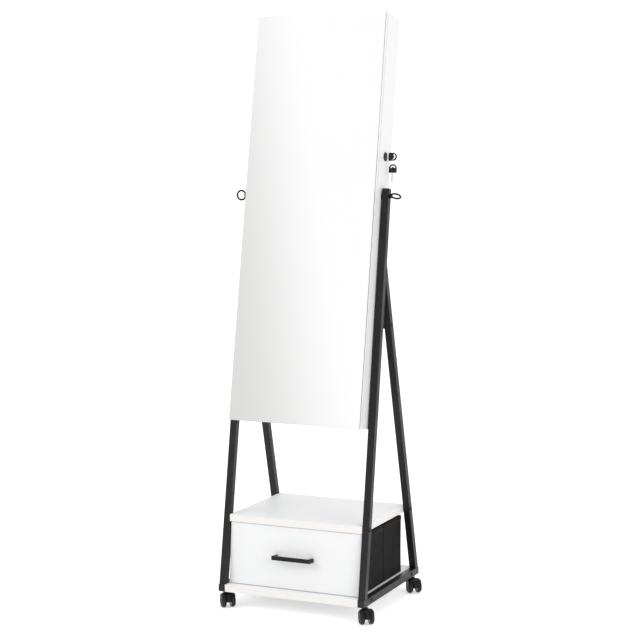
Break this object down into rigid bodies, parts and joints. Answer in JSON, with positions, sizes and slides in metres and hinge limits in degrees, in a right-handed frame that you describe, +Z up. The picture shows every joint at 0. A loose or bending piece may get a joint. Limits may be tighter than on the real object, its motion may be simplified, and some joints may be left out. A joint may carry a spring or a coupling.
{
  "type": "mirrored jewelry cabinet",
  "caption": "Free-standing jewelry cabinet with a full-length mirror door that tilts in a square-tube stand on twin-wheel casters, over a shelf and a fabric drawer.",
  "frame": {"origin": "on the floor, midway between the side frames and midway along the base rails", "axes": "+Z up, -Y towards the person at the mirror, +X to that person's right"},
  "size_m": [0.4846, 0.4007, 1.5793],
  "materials": {
    "frame_paint": "satin black powder coat",
    "cap_plastic": "moulded black plastic",
    "bolt_black": "black zinc",
    "board_white": "white melamine board",
    "mirror": "silvered float glass",
    "velvet": "black flocked lining",
    "roll_velvet": "velvet over foam",
    "bin_fabric": "black non-woven cloth",
    "stiffener": "cloth-covered board",
    "zinc_steel": "zinc-plated steel",
    "lock_metal": "nickel-plated die casting",
    "key_plastic": "moulded black head on a nickel blade",
    "handle_paint": "satin black",
    "hood_plastic": "moulded black nylon",
    "wheel_plastic": "hard black nylon"
  },
  "bodies": {
    "stand": {"front_leg_left": "frame_paint", "front_leg_right": "frame_paint", "rear_leg_left": "frame_paint", "rear_leg_right": "frame_paint", "base_rail_left": "frame_paint", "base_rail_right": "frame_paint", "tube_plugs": "cap_plastic", "rear_crossbar": "frame_paint", "frame_bolts": "bolt_black", "top_board": "board_white", "bottom_board": "board_white", "caster_stems": "zinc_steel", "pivot_washers": "cap_plastic"},
    "case": {"side_panel_left": "board_white", "side_panel_right": "board_white", "top_panel": "board_white", "bottom_panel": "board_white", "back_panel": "board_white", "back_lining": "velvet", "shelf_rails": "board_white", "hook_rail": "board_white", "necklace_hooks": "zinc_steel", "ring_tray": "board_white", "ring_rolls": "roll_velvet", "insert_nuts": "zinc_steel", "lock_body": "lock_metal", "case_hinge_leaves": "zinc_steel", "hinge_pins": "zinc_steel", "shelf_lower": "board_white", "shelf_middle": "board_white", "shelf_upper": "board_white"},
    "door": {"door_panel": "board_white", "door_mirror": "mirror", "door_hinge_leaves": "zinc_steel", "lock_strike": "zinc_steel", "earring_board": "board_white"},
    "lock": {"lock_plug": "lock_metal", "lock_cam": "zinc_steel", "lock_key": "key_plastic"},
    "key_ring": {"key_ring": "lock_metal"},
    "spare_key": {"spare_key": "key_plastic"},
    "eye_left": {"eye_screw_left": "bolt_black"},
    "eye_right": {"eye_screw_right": "bolt_black"},
    "drawer": {"drawer_front": "board_white", "drawer_bin": "bin_fabric", "drawer_base": "stiffener", "drawer_handle": "handle_paint", "handle_screws": "zinc_steel"},
    "caster_front_left": {"caster_housing_front_left": "hood_plastic", "caster_axle_front_left": "zinc_steel"},
    "wheels_front_left": {"caster_wheels_front_left": "wheel_plastic"},
    "caster_front_right": {"caster_housing_front_right": "hood_plastic", "caster_axle_front_right": "zinc_steel"},
    "wheels_front_right": {"caster_wheels_front_right": "wheel_plastic"},
    "caster_back_left": {"caster_housing_back_left": "hood_plastic", "caster_axle_back_left": "zinc_steel"},
    "wheels_back_left": {"caster_wheels_back_left": "wheel_plastic"},
    "caster_back_right": {"caster_housing_back_right": "hood_plastic", "caster_axle_back_right": "zinc_steel"},
    "wheels_back_right": {"caster_wheels_back_right": "wheel_plastic"}
  },
  "joints": [
    {"name": "cabinet_tilt", "type": "hinge", "parent": "stand", "child": "case", "pos_m": [0, -0.0131, 1.0915], "axis": [-1, 0, 0], "range_deg": [-2, 40]},
    {"name": "door_swing", "type": "hinge", "parent": "case", "child": "door", "pos_m": [-0.1908, -0.05951, 1.03666], "axis": [0, -0.1719, -0.9851], "range_deg": [0, 110]},
    {"name": "lock_turn", "type": "hinge", "parent": "case", "child": "lock", "pos_m": [0.1905, 0.01002, 1.19487], "axis": [1, 0, 0], "range_deg": [0, 90]},
    {"name": "key_ring_swing", "type": "hinge", "parent": "lock", "child": "key_ring", "pos_m": [0.21183, 0.00901, 1.18906], "axis": [0, -0.9851, 0.1719], "range_deg": [-5, 85]},
    {"name": "spare_key_swing", "type": "hinge", "parent": "key_ring", "child": "spare_key", "pos_m": [0.21183, 0.00581, 1.17074], "axis": [0, -0.9851, 0.1719], "range_deg": [-12, 45]},
    {"name": "eye_turn_left", "type": "hinge", "parent": "stand", "child": "eye_left", "pos_m": [0, -0.0131, 1.0915], "axis": [1, 0, 0], "continuous": true},
    {"name": "eye_turn_right", "type": "hinge", "parent": "stand", "child": "eye_right", "pos_m": [0, -0.0131, 1.0915], "axis": [1, 0, 0], "continuous": true},
    {"name": "drawer_slide", "type": "slide", "parent": "stand", "child": "drawer", "axis": [0, -1, 0], "range_m": [0, 0.24]},
    {"name": "swivel_front_left", "type": "hinge", "parent": "stand", "child": "caster_front_left", "pos_m": [-0.2005, -0.166, 0.044], "axis": [0, 0, 1], "continuous": true},
    {"name": "roll_front_left", "type": "hinge", "parent": "caster_front_left", "child": "wheels_front_left", "pos_m": [-0.19, -0.17808, 0.018], "axis": [0.7547, 0.6561, 0], "continuous": true},
    {"name": "swivel_front_right", "type": "hinge", "parent": "stand", "child": "caster_front_right", "pos_m": [0.2005, -0.166, 0.044], "axis": [0, 0, 1], "continuous": true},
    {"name": "roll_front_right", "type": "hinge", "parent": "caster_front_right", "child": "wheels_front_right", "pos_m": [0.20991, -0.17894, 0.018], "axis": [0.809, 0.5878, 0], "continuous": true},
    {"name": "swivel_back_left", "type": "hinge", "parent": "stand", "child": "caster_back_left", "pos_m": [-0.2005, 0.166, 0.044], "axis": [0, 0, 1], "continuous": true},
    {"name": "roll_back_left", "type": "hinge", "parent": "caster_back_left", "child": "wheels_back_left", "pos_m": [-0.19065, 0.15339, 0.018], "axis": [0.788, 0.6157, 0], "continuous": true},
    {"name": "swivel_back_right", "type": "hinge", "parent": "stand", "child": "caster_back_right", "pos_m": [0.2005, 0.166, 0.044], "axis": [0, 0, 1], "continuous": true},
    {"name": "roll_back_right", "type": "hinge", "parent": "caster_back_right", "child": "wheels_back_right", "pos_m": [0.21079, 0.15374, 0.018], "axis": [0.766, 0.6428, 0], "continuous": true}
  ]
}
